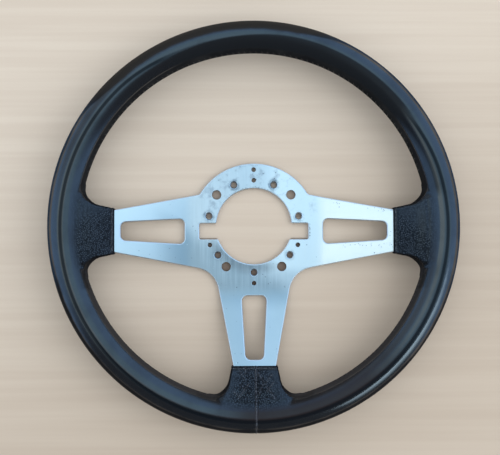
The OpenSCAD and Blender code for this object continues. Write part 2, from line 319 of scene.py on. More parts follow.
def pebbled(x, y):
    """1 where the boots keep their grain, less where hands have rubbed them smooth."""
    rho = np.hypot(x, y)
    grain = np.zeros_like(x)
    for spoke in SPOKES:
        along, across = spoke_axes(x, y, spoke)
        if spoke == "lower":
            kept = 0.45 + 0.55 * smooth_step(np.abs(across) - 0.3 * (along - 135), 23, 7)
        else:
            # Smooth in the corner between the boot's upper side and the rim
            up = across if spoke == "right" else -across
            kept = 0.4 + 0.6 * smooth_step(up + 0.7 * (along - 134), 32, 4 if spoke == "left" else -10)
        grain = np.maximum(grain, kept * (along > 0) * (np.abs(across) < 50))
    grain = grain * smooth_step(rho, INNER_R + 9, INNER_R - 1)
    return grain * smooth_step(edge_distance(x, y), 0.2, 1.4)


def boot_mask(x, y):
    """1 on the boots, falling to 0 where their flares end."""
    mask = np.zeros_like(x)
    for spoke in SPOKES:
        along, across = spoke_axes(x, y, spoke)
        reach = smooth_step(np.abs(across), BASE_HALF + FLARE_R - 2, BASE_HALF + 1)
        mask = np.maximum(mask, reach * (along > 0))
    return mask


def slope_of(field, p, step=0.03):
    """The field's gradient at each point."""
    grad = np.empty_like(p)
    for axis in range(3):
        shift = np.zeros(3)
        shift[axis] = step
        grad[:, axis] = (field(*(p + shift).T) - field(*(p - shift).T)) / (2 * step)
    return grad


def onto_face(field, p, rounds=4):
    """Moves points onto the surface where the field is 0."""
    for _ in range(rounds):
        grad = slope_of(field, p)
        size = np.maximum((grad**2).sum(1), 0.05)
        move = (field(*p.T) / size)[:, None] * grad
        length = np.linalg.norm(move, axis=1, keepdims=True)
        p = p - move * np.minimum(1, 0.6 / np.maximum(length, SHORT))
    return p


def crossed_cells(value):
    """Where a surface crosses a grid that closes on itself round its first axis.

    Each grid cell that the surface crosses gets one point, and each grid edge that it crosses one face.
    Gives the cells, the points' places inside them, and the faces.
    """
    total, count = np.zeros((3, value.size)), np.zeros(value.size)
    faces = []
    for axis in range(3):
        beyond = np.roll(value, -1, axis)
        crossed = (value < 0) != (beyond < 0)
        if axis:
            crossed[(slice(None),) * axis + (-1,)] = False
        cell = np.array(np.nonzero(crossed))
        near, far = value[tuple(cell)], beyond[tuple(cell)]
        part = near / (near - far)
        corners = []
        for shift in ((-1, -1), (0, -1), (0, 0), (-1, 0)):
            owner, inside = cell.copy(), np.zeros((3, cell.shape[1]))
            inside[axis] = part
            for k, s in zip(((axis + 1) % 3, (axis + 2) % 3), shift):
                owner[k] += s
                inside[k] = -s
            owner[0] %= value.shape[0]
            index = np.ravel_multi_index(owner, value.shape)
            corners.append(index)
            count += np.bincount(index, minlength=value.size)
            for k in range(3):
                total[k] += np.bincount(index, inside[k], minlength=value.size)
        quads = np.array(corners).T
        faces.append(np.where((near < 0)[:, None], quads[:, ::-1], quads))
    used = np.nonzero(count)[0]
    renamed = np.zeros(value.size, int)
    renamed[used] = np.arange(len(used))
    cells = np.array(np.unravel_index(used, value.shape))
    return cells, total[:, used] / count[used], renamed[np.concatenate(faces)]


def evened(field, p, faces, rounds=2):
    """Points drawn towards the mean of their neighbours, and put back onto the surface each time."""
    ends = np.concatenate([faces[:, [k, (k + 1) % 4]] for k in range(4)])
    neighbours = np.bincount(ends[:, 0], minlength=len(p)) + np.bincount(ends[:, 1], minlength=len(p))
    for _ in range(rounds):
        for k in range(3):
            mean = np.bincount(ends[:, 0], p[ends[:, 1], k], len(p))
            mean += np.bincount(ends[:, 1], p[ends[:, 0], k], len(p))
            p[:, k] += 0.4 * (mean / neighbours - p[:, k])
        p = onto_face(field, p, 2)
    return p


def ring_mesh(name, field, turns, radii, heights):
    """A closed mesh of the surface where the field is 0, on a grid that runs round the wheel's axis."""
    a, r, h = np.meshgrid(turns, radii, heights, indexing="ij")
    cells, inside, faces = crossed_cells(field(r * np.cos(a), r * np.sin(a), h))
    rails = [np.append(turns, turns[0] + 2 * pi), radii, heights]
    at = [rail[i] + t * (rail[i + 1] - rail[i]) for rail, i, t in zip(rails, cells, inside)]
    p = np.stack([at[1] * np.cos(at[0]), at[1] * np.sin(at[0]), at[2]], 1)
    p = evened(field, onto_face(field, p), faces)
    mesh = bpy.data.meshes.new(name)
    mesh.from_pydata((p * MM).tolist(), [], faces.tolist())
    mesh.polygons.foreach_set("use_smooth", [True] * len(mesh.polygons))
    mesh.update()
    normals = slope_of(field, p)
    normals /= np.maximum(np.linalg.norm(normals, axis=1, keepdims=True), SHORT)
    mesh.normals_split_custom_set_from_vertices(normals.tolist())
    return mesh, p


def spaced(start, end, step, fine=()):
    """Grid lines from start to end at a step, closer inside each (from, to, step) of fine."""
    lines, at = [], start
    while at < end:
        lines.append(at)
        here = step
        for low, high, close in fine:
            if low <= at < high:
                here = min(here, close)
            elif at < low:
                here = min(here, max(low - at, close))
        at += here
    return np.array(lines)


# ---- Materials: numbers and colours as expressions on sockets ----


class Sock:
    """A node's output that Python's operators work on."""

    def __init__(self, sheet, out):
        self.sheet, self.out = sheet, out

    def sum_of(self, kind, a, b=None):
        values = {0: a} if b is None else {0: a, 1: b}
        return self.sheet.node("ShaderNodeMath", {"operation": kind}, values)

    def __add__(self, other):
        return self.sum_of("ADD", self, other)

    __radd__ = __add__

    def __mul__(self, other):
        return self.sum_of("MULTIPLY", self, other)

    __rmul__ = __mul__

    def __sub__(self, other):
        return self.sum_of("SUBTRACT", self, other)

    def __rsub__(self, other):
        return self.sum_of("SUBTRACT", other, self)

    def __truediv__(self, other):
        return self.sum_of("DIVIDE", self, other)

    def __pow__(self, other):
        return self.sum_of("POWER", self, other)

    def __gt__(self, other):
        return self.sum_of("GREATER_THAN", self, other)

    def __lt__(self, other):
        return self.sum_of("LESS_THAN", self, other)

    def __abs__(self):
        return self.sum_of("ABSOLUTE", self)

    def __neg__(self):
        return self * -1


class Sheet:
    """A node tree being written: a material's, the world's or a thread's."""

    def __init__(self, tree):
        self.tree = tree
        tree.nodes.clear()

    def node(self, kind, settings=None, values=None, out=0):
        """A node with its settings made first, then the values or links of its sockets."""
        n = self.tree.nodes.new(kind)
        for key, value in (settings or {}).items():
            if key == "stops":
                ramp = n.color_ramp
                while len(ramp.elements) < len(value):
                    ramp.elements.new(0.5)
                for element, (at, colour) in zip(ramp.elements, value):
                    element.position, element.color = at, (*colour, 1)
            else:
                setattr(n, key, value)
        for key, value in (values or {}).items():
            if isinstance(value, Sock):
                self.tree.links.new(value.out, n.inputs[key])
            else:
                n.inputs[key].default_value = value
        return Sock(self, n.outputs[out]) if len(n.outputs) else n

    def near(self, x, outer, inner):
        """1 where x is within inner of 0 on either side, 0 beyond outer."""
        return self.smooth(abs(x), outer, inner)

    def smooth(self, x, low, high):
        """0 below low, 1 above high; low may be the larger."""
        return self.node(
            "ShaderNodeMapRange",
            {"interpolation_type": "SMOOTHSTEP"},
            {0: x, 1: low, 2: high, 3: 0.0, 4: 1.0},
        )

    def parts(self, vector):
        split = self.node("ShaderNodeSeparateXYZ", None, {0: vector})
        return [Sock(self, out) for out in split.out.node.outputs]

    def vector(self, x, y, z=0.0):
        return self.node("ShaderNodeCombineXYZ", None, {0: x, 1: y, 2: z})

    def place(self, vector, scale=(1, 1, 1), turn=(0, 0, 0), shift=(0, 0, 0)):
        return self.node("ShaderNodeMapping", None, {0: vector, 1: shift, 2: turn, 3: scale})

    def noise(self, vector, scale, detail=2.0, rough=0.5, warp=0.0):
        values = {"Vector": vector, "Scale": scale, "Detail": detail}
        values.update({"Roughness": rough, "Distortion": warp})
        return self.node("ShaderNodeTexNoise", None, values)

    def cells(self, vector, scale, feature="F1"):
        return self.node("ShaderNodeTexVoronoi", {"feature": feature}, {"Vector": vector, "Scale": scale})

    def mix(self, factor, a, b):
        """Colour a turning into colour b."""
        a, b = (v if isinstance(v, Sock) else (*v, 1) for v in (a, b))
        return self.node("ShaderNodeMix", {"data_type": "RGBA"}, {0: factor, 6: a, 7: b}, 2)

    def layered(self, colour, *layers):
        """A colour with others laid over it, each given as (how much, colour)."""
        for much, over in layers:
            colour = self.mix(much, colour, over)
        return colour

    def marked(self, name):
        """What a mesh's attribute says at each point."""
        return self.node("ShaderNodeAttribute", {"attribute_name": name}, None, "Fac")

    def angle(self, y, x):
        return y.sum_of("ARCTAN2", y, x)

    def length2(self, x, y):
        return (x * x + y * y) ** 0.5


def finish_of(name, make, **fixed):
    """A material whose look is written by make(sheet, shader): it returns what varies over the surface."""
    material = bpy.data.materials.new(name)
    material.use_nodes = True
    sheet = Sheet(material.node_tree)
    shader = sheet.node("ShaderNodeBsdfPrincipled").out.node
    for key, value in fixed.items():
        shader.inputs[key.replace("_", " ")].default_value = value
    place = sheet.node("ShaderNodeTexCoord", None, None, "Object")
    for key, value in make(sheet, place).items():
        if isinstance(value, Sock):
            sheet.tree.links.new(value.out, shader.inputs[key])
        else:
            shader.inputs[key].default_value = value
    sheet.node("ShaderNodeOutputMaterial", None, {0: Sock(sheet, shader.outputs[0])})
    return material


def bumped(sheet, height):
    """A normal tilted by a relief whose height is in millimetres."""
    return sheet.node("ShaderNodeBump", None, {"Strength": 1.0, "Distance": MM, "Height": height})


def leather_places(s, place):
    """Where a point of the leather lies round the wheel and round the grip, and the mesh's markings there."""
    x, y, z = s.parts(place)
    rho = s.length2(x, y)
    out, up = rho - RING_R * MM, z - RIM_Z * MM
    crest, _ = crest_place(x, y, rho, s.smooth)
    at = Group(x=x, y=y, rho=rho, out=out, up=up, crest=crest * MM)
    at.turn = s.angle(out, up)  # 0 at the crest, -pi/2 at the innermost line
    at.round = s.angle(y, x)
    at.boot, at.edge, at.grain, at.lines = (s.marked(name) for name in ("boot", "edge", "grain", "lines"))
    at.plain = 1 - at.boot
    return at


def hide_patterns(s, place, at):
    """The hide's own patterns, and the dust that sits in them."""
    # A frame that follows the rim: round it, and round the grip's section
    skin = s.vector(at.round * (RING_R * MM), at.turn * (GRIP_R * MM))
    cloud = s.noise(place, 38, 4.0, 0.6)
    pebble = s.smooth(s.cells(place, 660, "DISTANCE_TO_EDGE"), 0.05, 0.26)
    swirl = s.noise(s.place(place, (1.4, 0.9, 1), (0, 0, 0.8)), 640, 1.0, 0.5, 0.6)
    worms = s.near(swirl - 0.5, 0.09, 0.02)
    crazed = s.noise(s.place(skin, (9, 1, 1)), 60, 3.0, 0.6, 0.6)
    return Group(
        cloud=cloud,
        pebble=pebble,
        worms=worms,
        fine=s.noise(place, 2600, 3.0, 0.6),
        cracks=s.near(crazed - 0.5, 0.03, 0.0),
        tops=s.smooth(pebble * 0.95 + worms * 0.2 + 0.8 * (cloud - 0.5), 0.25, 1.05),
        dust=s.smooth(cloud, 0.42, 0.68),
    )


def leather_zones(s, at, hide):
    """1 where each finish of the rim lies, and where painted shade and reflections lie, 0 elsewhere."""
    band = s.smooth(at.edge - band_width(at.plain), 0.3, -0.3) * (at.out < 0)
    # On the upper right the crest has no line, and all inside it is matt with a dull grey laid on: painted
    # shade
    upper_right = s.near(at.round - radians(76), radians(46), radians(36))
    painted_shade_from = 0.4 * MM - 4.0 * MM * s.smooth(at.round, radians(70), radians(115))
    shaded = s.smooth(at.out - painted_shade_from, 0.9 * MM, -0.9 * MM) * upper_right
    crest_line = s.near(at.out - at.crest, 2.3 * MM, 0.7 * MM) * (at.up > 0) * (1 - upper_right)
    # On the right a fainter line runs inside the first
    right = s.near(at.round - radians(12), radians(32), radians(20)) * at.plain * (at.up > 0)
    second_line = s.near(at.out - at.crest + 5.3 * MM, 1.9 * MM, 0.6 * MM) * right
    # The outer flank turns dull some way down: late on the upper right and the left, early at the top. Where
    # it is dull a painted reflection is laid on it: blue where it turns late, grey at the top
    late = s.smooth(0.87 * at.x + 0.5 * at.y, 0.10, 0.14)
    late = late + s.smooth(0.2 * at.y - 0.98 * at.x, 0.152, 0.163)
    early = s.smooth(0.966 * at.y - 0.259 * at.x, 0.128, 0.150)
    starts = radians(34) + radians(7) * late - radians(26) * early
    starts = starts + radians(6) * s.near(at.round + radians(28), radians(24), radians(12))
    flank = s.smooth(at.turn + 0.25 * (hide.cloud - 0.5) - starts, 0.0, radians(13))
    flank = flank * (1 - 0.5 * s.smooth(at.turn, radians(58), radians(80)))
    # The lower rim is dull inside its crest, and a brownish painted reflection is laid on it there
    worn = s.near(at.round + radians(72), radians(36), radians(16))
    worn = worn * s.smooth(at.rho, 0.153, 0.161) * s.smooth(at.out - at.crest, 1.5 * MM, 0.0)
    return Group(
        band=band, shaded=shaded, crest_line=crest_line, second_line=second_line,
        right=right, late=late, early=early, flank=flank, worn=worn,
    )


def leather_relief(at, hide, zones):
    """Heights of the grain and the cracks, in millimetres."""
    relief = hide.pebble * (0.015 + 0.08 * at.grain + 0.05 * zones.band)
    relief = relief + hide.fine * (0.015 + 0.03 * zones.band)
    relief = relief + hide.worms * (0.01 + 0.03 * at.grain) + at.lines * hide.worms * 0.08
    return relief - hide.cracks * 0.03 * at.plain * (1 - zones.band) + hide.cloud * 0.2


def leather_colour(s, at, hide, zones):
    """The hide's colour, with the finishes, painted reflections, painted highlights and painted shade laid
    over it.
    """
    return s.layered(
        s.mix(hide.dust * 0.5, (0.0045, 0.0058, 0.0088), (0.008, 0.0095, 0.013)),
        (zones.band * at.plain * (0.3 + 0.6 * hide.dust), (0.022, 0.024, 0.027)),
        (zones.band * at.plain * s.smooth(at.y, 0.02, -0.08), (0.036, 0.036, 0.040)),
        # Painted reflections on the dull outer flank: blue where it turns late, grey at the top
        (zones.flank * zones.late, (0.004, 0.022, 0.050)),
        (zones.flank * zones.early, (0.024, 0.0235, 0.0235)),
        # Painted shade inside the crest on the upper right
        (zones.shaded * (1 - zones.band), (0.0115, 0.0145, 0.019)),
        # Painted reflection: brownish, inside the lower rim's crest
        (zones.worn, (0.0195, 0.0155, 0.0175)),
        (zones.crest_line * 0.8, (0.003, 0.006, 0.010)),
        (at.grain, (0.004, 0.0045, 0.006)),
        (at.grain * hide.tops, (0.010, 0.0095, 0.010)),
        # Painted highlights along the raised hems, joint and creases
        (at.lines * (0.15 + 0.75 * hide.tops), (0.10, 0.11, 0.135)),
    )


def leather_gloss(s, at, hide, zones):
    """How much of the hands' polish shows: all on the grip's crest, little in bands, lines and grain."""
    gloss = (1 - 0.96 * zones.band) * (1 - 0.8 * zones.crest_line) * (1 - 0.95 * zones.flank)
    gloss = gloss * (1 - 0.75 * zones.worn) * (1 - 0.9 * zones.shaded)
    gloss = gloss * (1 - 0.45 * zones.second_line) * (1 - 0.25 * zones.right * (at.out < at.crest))
    gloss = gloss * (1 - 0.4 * at.boot * s.smooth(at.rho, 0.162, 0.152) * (1 - hide.tops))
    gloss = gloss * (1 - 0.2 * hide.dust) * (0.93 + 0.3 * (hide.fine - 0.5))
    lower = s.smooth(at.y, -0.10, -0.13)
    grained = 0.14 + 0.48 * hide.tops + 0.14 * lower * (hide.tops - 0.3)
    return gloss * (1 - at.grain) + at.grain * grained


def leather_look(s, place):
    """Black hide: polished by hands on the grip, pebbled on the boots, dull along the laced seam."""
    at = leather_places(s, place)
    hide = hide_patterns(s, place, at)
    zones = leather_zones(s, at, hide)
    rough = 0.62 + 0.10 * hide.dust + 0.10 * zones.band - 0.1 * at.grain * hide.tops
    return {
        "Base Color": leather_colour(s, at, hide, zones),
        "Roughness": rough + 0.12 * (hide.fine - 0.5),
        "Coat Weight": leather_gloss(s, at, hide, zones),
        "Normal": bumped(s, leather_relief(at, hide, zones)),
    }


def arm_pits(s, place, x, y):
    """Small pits that follow the right arm's upper edge and its slot's lower edge."""
    below_edge = 38.5 * MM - 0.194 * x - y
    upper = s.near(below_edge - 2.2 * MM, 3 * MM, 1 * MM) * s.smooth(x, 62 * MM, 70 * MM)
    lower = s.near(y + 17.5 * MM, 3 * MM, 1 * MM) * s.smooth(x, 72 * MM, 80 * MM)
    return s.smooth(s.cells(place, 520), 0.24, 0.14) * (upper + lower)


def screw_stains_and_shade(s, x, y, rho):
    """1 on the rings round the screw holes, partly stains and partly painted shade of their countersinks,
    fading out towards the hub's bottom.
    """
    share = radians(360 / SCREWS)
    folded = (s.angle(y, x) + pi / 2) / share + 0.5
    folded = folded.sum_of("FRACT", folded) - 0.5
    off_hole = s.length2(folded * share * (SCREW_CIRCLE_R * MM), rho - SCREW_CIRCLE_R * MM)
    return s.smooth(off_hole, 6.5 * MM, 3.5 * MM) * s.smooth(y, -45 * MM, 0.0)


def hub_painted_shadow(s, place, x, y, rho, blotch):
    """Painted shadow along the top of the bore and in the right notch."""
    bore = s.smooth(rho + 4 * MM * (blotch - 0.5), 36.5 * MM, 34.5 * MM) * s.smooth(y, 24 * MM, 33 * MM)
    notch = s.near(x - 49.7 * MM, 2 * MM, 0.4 * MM)
    notch = notch * s.near(y + SIDE_DROP * MM, 8 * MM, 5 * MM)
    return (bore + notch) * s.smooth(s.noise(place, 520, 3.0, 0.7), 0.44, 0.62)


def hub_painted_shade(s, x, y, cloud):
    """1 where the hub is painted darker as painted shade, below and to the left of the bore."""
    dull = s.smooth(10 * MM * (cloud - 0.5) - 0.5 * x - 0.866 * y, 24 * MM, 42 * MM)
    dull = dull * s.smooth(x, -95 * MM, -60 * MM)
    middle = 0.40 + 0.25 * s.smooth(x, -10 * MM, 10 * MM)
    return dull * (1 - middle * s.smooth(y, -58 * MM, -78 * MM))


def painted_bright_reflection(s, x, y, cloud):
    """1 where the metal is painted brightest, as a painted reflection: right of the middle, and out along the
    left arm.
    """
    right = s.smooth(x + 6 * MM * (cloud - 0.5), 2 * MM, 27 * MM) * s.smooth(y + 0.1 * x, -43 * MM, -30 * MM)
    return right + s.smooth(0.5 * y - x, 55 * MM, 125 * MM)


def aluminium_look(s, place):
    """Rolled sheet with a satin finish, with painted highlights on its broken edges and painted shade round
    the bore.
    """
    x, y, _ = s.parts(place)
    rho = s.length2(x, y)
    rubbed, cut = s.marked("rubbed"), s.marked("cut")
    cloud = s.noise(place, 26, 4.0, 0.6)
    blotch = s.noise(place, 110, 4.0, 0.65)
    brushed = s.noise(s.place(place, (900, 22, 22)), 1.0, 3.0, 0.6)
    streaks = s.noise(s.place(place, (420, 12, 12)), 1.0, 4.0, 0.7)
    fine = s.noise(place, 1500, 2.0, 0.6)
    scratch = s.noise(s.place(place, (14, 120, 60), (0, 0, 0.5)), 1.0, 2.0)
    scratch = s.near(scratch - 0.5, 0.006, 0.0)
    pits = s.smooth(s.cells(place, 230), 0.15, 0.06) * s.smooth(blotch, 0.50, 0.60)
    pits = pits + 0.8 * arm_pits(s, place, x, y)
    flecks = s.smooth(s.cells(s.place(place, shift=(0.3, 0.7, 0)), 260), 0.13, 0.06)
    flecks = flecks * s.smooth(s.noise(place, 70, 2.0), 0.58, 0.64)
    # Smudges lie over the hub's upper half; its lower left is painted darker as painted shade, darkest at the
    # bore's edge
    hub = s.smooth(rho, 64 * MM, 50 * MM)
    smudge = s.smooth(blotch, 0.50, 0.66) * hub * s.smooth(y, -10 * MM, 20 * MM)
    bore_painted_shade = s.smooth(rho + 6 * MM * (blotch - 0.5), 47 * MM, 36 * MM)
    bore_painted_shade = bore_painted_shade * s.smooth(y + 0.4 * x, -22 * MM, -36 * MM)
    ring_stains_and_shade = screw_stains_and_shade(s, x, y, rho) * s.smooth(blotch + 0.3 * fine, 0.50, 0.75)
    base = s.layered(
        s.mix(s.smooth(cloud, 0.3, 0.7), (0.64, 0.65, 0.65), (0.71, 0.715, 0.71)),
        # Painted reflection: brighter right of the middle and out along the left arm
        (painted_bright_reflection(s, x, y, cloud), (0.93, 0.91, 0.87)),
        (smudge * 0.40, (0.33, 0.35, 0.37)),
        # Painted shade below and to the left of the bore, darkest at the bore's edge
        (hub_painted_shade(s, x, y, cloud), (0.40, 0.44, 0.46)),
        (bore_painted_shade * 0.8, (0.22, 0.235, 0.25)),
        (s.smooth(streaks, 0.35, 0.75) * hub * 0.22, (0.90, 0.91, 0.92)),
        # Stains and painted countersink shade round the screw holes
        (ring_stains_and_shade, (0.24, 0.27, 0.30)),
        # Painted shade on the plate's side walls and in its holes
        (cut, (0.20, 0.19, 0.18)),
        (pits * 0.75, (0.13, 0.13, 0.14)),
        # Painted shadow at the top of the bore and in the right notch
        (hub_painted_shadow(s, place, x, y, rho, blotch) * 0.8, (0.10, 0.075, 0.055)),
        # Painted highlights on the broken edges, with real pale flecks
        (rubbed * 0.8 + flecks * 0.8, (0.95, 0.95, 0.94)),
    )
    relief = brushed * 0.018 + fine * 0.006 - pits * 0.06 - scratch * 0.012 + blotch * 0.025
    rough = 0.33 + 0.10 * (cloud - 0.5) + 0.10 * smudge + 0.08 * (brushed - 0.5)
    rough = rough + 0.2 * pits + 0.2 * cut + 0.12 * rubbed
    return {"Base Color": base, "Roughness": rough, "Normal": bumped(s, relief)}


def steel_look(s, place):
    """Plain mild steel, darkened by heat and handling."""
    cloud = s.noise(place, 60, 4.0, 0.6)
    spots = s.smooth(s.noise(place, 420, 3.0, 0.6), 0.56, 0.68)
    base = s.mix(cloud, (0.20, 0.21, 0.23), (0.34, 0.35, 0.36))
    base = s.mix(spots * 0.5, base, (0.13, 0.085, 0.06))
    relief = cloud * 0.05 + spots * 0.02
    return {"Base Color": base, "Roughness": 0.42 + 0.3 * spots, "Normal": bumped(s, relief)}


def rivet_look(s, place):
    """Pressed aluminium rivets, dulled all over."""
    cloud = s.noise(place, 300, 3.0, 0.6)
    base = s.mix(cloud, (0.42, 0.43, 0.45), (0.60, 0.61, 0.62))
    return {"Base Color": base, "Roughness": 0.34 + 0.2 * cloud, "Normal": bumped(s, cloud * 0.03)}


def foam_look(s, place):
    """Moulded black foam with small open cells."""
    cells = s.cells(place, 1400)
    cloud = s.noise(place, 120, 3.0, 0.6)
    base = s.mix(s.smooth(cells, 0.1, 0.6), (0.012, 0.012, 0.012), (0.045, 0.044, 0.042))
    return {
        "Base Color": base,
        "Roughness": 0.85 + 0.1 * (cloud - 0.5),
        "Normal": bumped(s, cells * 0.25 + cloud * 0.1),
    }


def thread_look(s, place):
    """Waxed black thread, with the twist of its plies."""
    ply = s.node(
        "ShaderNodeTexWave",
        {"wave_type": "BANDS", "bands_direction": "DIAGONAL"},
        {"Vector": place, "Scale": 900.0, "Distortion": 1.0},
        1,
    )
    worn = s.noise(place, 260, 3.0, 0.6)
    base = s.mix(s.smooth(worn, 0.45, 0.7), (0.010, 0.010, 0.012), (0.035, 0.036, 0.040))
    return {"Base Color": base, "Roughness": 0.5 + 0.2 * worn, "Normal": bumped(s, ply * 0.08)}


LEATHER = finish_of(
    "black_leather", leather_look, Specular_IOR_Level=0.03, Coat_Roughness=0.22, Coat_IOR=1.85
)
ALUMINIUM = finish_of("satin_aluminium", aluminium_look, Metallic=1.0)
STEEL = finish_of("dark_steel", steel_look, Metallic=1.0)
RIVET = finish_of("rivet_metal", rivet_look, Metallic=1.0)
FOAM = finish_of("black_foam", foam_look)
THREAD = finish_of("waxed_thread", thread_look)

# ---- Rim: leather cover and foam core ----


def round_lines(plain_step, boot_step, crease_step, joint_step):
    """Grid lines round the wheel, closer over the boots, the creases and the joint; steps in degrees."""
    half = degrees(asin((BASE_HALF + FLARE_R + 6) / INNER_R))
    fine = []
    for turn, drop in SPOKES.values():
        middle = (turn - 90 + 360) % 360 + degrees(drop / INNER_R) * cos(radians(turn))
        fine.append((middle - half, middle + half, boot_step))
        if turn == -90:
            fine.append((middle - 8.0, middle + 8.0, crease_step))
            fine.append((middle - 1.0, middle + 1.7, joint_step))
    return np.radians(spaced(0, 360 - 0.6 * plain_step, plain_step, sorted(fine)) + 90)


COVER_STEP, CORE_STEP = 1.15, 2.0
section_r = spaced(
    MOUTH_R - 2.4,
    RING_R + GRIP_R + 2,
    COVER_STEP,
    [
        (MOUTH_R - 2.4, MOUTH_R + 5, 0.35),
        (MOUTH_R + 5, INNER_R, 0.55),
        (INNER_R + BAND_W - 0.8, INNER_R + BAND_W + 0.8, 0.3),
        (RING_R - 2.2, RING_R + 2.2, 0.4),
    ],
)
section_z = spaced(
    RIM_Z - GRIP_R - 1.9, RIM_Z + GRIP_R + 2, COVER_STEP, [(RIM_Z - 0.9, RIM_Z + 0.9, 0.4)]
)
rim_mesh, rim_points = ring_mesh(
    "rim_cover",
    rim_field,
    round_lines(plain_step=0.7, boot_step=0.42, crease_step=0.22, joint_step=0.14),
    section_r,
    section_z,
)
markings = {"boot": boot_mask, "edge": edge_distance, "grain": pebbled, "lines": raised_line_highlights}
for label, measure in markings.items():
    values = rim_mesh.attributes.new(label, "FLOAT", "POINT")
    values.data.foreach_set("value", measure(*rim_points[:, :2].T).astype(np.float32))
rim_cover = keep("rim_cover", rim_mesh, LEATHER)
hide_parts("rim_leather")


def foam_field(x, y, z):
    """The foam under the leather, with the room for the hoop taken out."""
    hoop = np.hypot(np.hypot(x, y) - RING_R, z - RIM_Z) - (HOOP_R + HOOP_ROOM)
    return np.maximum(rim_field(x, y, z, LEATHER_T, FOAM_SETBACK, False), -hoop)


foam_mesh, _ = ring_mesh(
    "rim_core",
    foam_field,
    round_lines(plain_step=2.0, boot_step=1.0, crease_step=1.0, joint_step=1.0),
    spaced(MOUTH_R, RING_R + GRIP_R + 1, CORE_STEP),
    spaced(RIM_Z - GRIP_R - 1.0, RIM_Z + GRIP_R + 1, CORE_STEP),
)
rim_core = keep("rim_core", foam_mesh, FOAM)
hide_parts("rim_foam")

# ---- Spoke plate ----


def bent_normals(mesh):
    """Corner normals that turn gradually over the folds, as rolled sheet bends."""
    normals = np.array([corner.vector for corner in mesh.corner_normals])
    flat, tilts = [], []
    for p in mesh.polygons:
        if p.material_index == 0 and abs(p.normal.z) > 0.9:
            flat.append(p)
            if p.normal.z > 0 and max(abs(p.center.x), -p.center.y) > 0.085:
                tilts.append((p.area, p.normal.z))
    tilt = acos(max(tilts)[1])
    for p in flat:
        side = 1 if p.normal.z > 0 else -1
        for corner in p.loop_indices:
            at = mesh.vertices[mesh.loops[corner].vertex_index].co / MM
            along, turn = max((spoke_axes(at.x, at.y, name)[0], turn) for name, (turn, _) in SPOKES.items())
            bend = tilt * smooth_step(along, FOLD_FROM, FOLD_TO)
            out = Vector((cos(radians(turn)), sin(radians(turn)), 0))
            normals[corner] = side * (Vector((0, 0, cos(bend))) - out * sin(bend))
    mesh.normals_split_custom_set(normals.tolist())


def lies_in(edge, *ranges):
    """True when an edge's middle lies in one of the ranges along its spoke, in millimetres."""
    middle = (edge.verts[0].co + edge.verts[1].co) / (2 * MM)
    along = max(spoke_axes(middle.x, middle.y, name)[0] for name in SPOKES)
    return any(low < along < high for low, high in ranges)


def lead_in(line):
    """Turn the inner end of a fold's last line squarely into the slot's rounded corner."""

    def place(vert):
        along, across = max(spoke_axes(vert.co.x / MM, vert.co.y / MM, name) for name in SPOKES)
        return along, abs(across)

    tip, far = sorted(line.verts, key=lambda vert: place(vert)[1])
    stub, knee = bmesh.utils.edge_split(line, tip, LEAD_IN / (place(far)[1] - place(tip)[1]))
    beyond = [(f, v) for f in knee.link_faces for v in f.verts if place(v)[0] > ARM_FROM]
    face, corner = min(beyond, key=lambda pair: (pair[1].co - knee.co).length)
    bmesh.utils.face_split(face, knee, corner)
    return stub


def notch_corner(vert):
    """True at the outer corners of the hub's two notches."""
    x, y = abs(vert.co.x) / MM, abs(vert.co.y / MM + SIDE_DROP)
    return abs(x - NOTCH_CORNER[0]) < 0.1 and abs(y - NOTCH_CORNER[1]) < 0.1


def off_corner(bridge):
    """Draw beside an edge that crosses the flat face to a notch's corner one that stops short of it."""
    corner, other = sorted(bridge.verts, key=notch_corner, reverse=True)
    level = [e for e in corner.link_edges if abs(e.verts[0].co.z - e.verts[1].co.z) < 0.01 * MM]
    rims = [e for e in level if e.calc_face_angle(0) > SHARP and e.calc_length() > 5 * MM]
    rim = min(rims, key=lambda e: (e.other_vert(corner).co - other.co).length)
    _, landing = bmesh.utils.edge_split(rim, corner, 0.5)
    face = next(f for f in landing.link_faces if other in f.verts)
    bmesh.utils.face_split(face, other, landing)


def ease_folds(work):
    """Take away the lines of the folds and of the flat faces that crowd the corners beside them."""
    # The last facets of each fold are too narrow for the slot's broken edge beside them
    bends = [e for e in work.edges if radians(0.5) < e.calc_face_angle(0) < radians(3)]
    narrow = [e for e in bends if lies_in(e, *DROPPED_LINES)]
    bmesh.ops.dissolve_edges(work, edges=narrow, use_verts=True)
    # The line left there runs into each slot's rounded corner almost along it
    last = [e for e in work.edges if e.calc_length() > 10 * MM and lies_in(e, LAST_LINE)]
    last = [e for e in last if all(abs(face.normal.z) > 0.9 for face in e.link_faces)]
    bmesh.ops.dissolve_edges(work, edges=[lead_in(e) for e in last], use_verts=True)
    level = [e for e in work.edges if e.calc_face_angle(1) < radians(0.2)]
    bridges = [e for e in level if any(map(notch_corner, e.verts))]
    for bridge in bridges:
        off_corner(bridge)
    bmesh.ops.dissolve_edges(work, edges=bridges, use_verts=False)
    bmesh.ops.recalc_face_normals(work, faces=work.faces)


def weigh_edges(work):
    """Note on each sharp edge how wide it is broken: the small holes' edges least."""
    weight = work.edges.layers.float.new("bevel_weight_edge")
    sharp = {e for e in work.edges if e.calc_face_angle(0) > SHARP}
    while sharp:
        chain, grown = set(), [sharp.pop()]
        while grown:
            edge = grown.pop()
            chain.add(edge)
            for vert in edge.verts:
                touching = sharp.intersection(vert.link_edges)
                sharp -= touching
                grown.extend(touching)
        ends = [v.co for e in chain for v in e.verts]
        reach = max(max(co[k] for co in ends) - min(co[k] for co in ends) for k in range(2))
        for edge in chain:
            edge[weight] = SMALL_HOLE_BREAK if reach < SMALL_HOLE * MM else 1.0


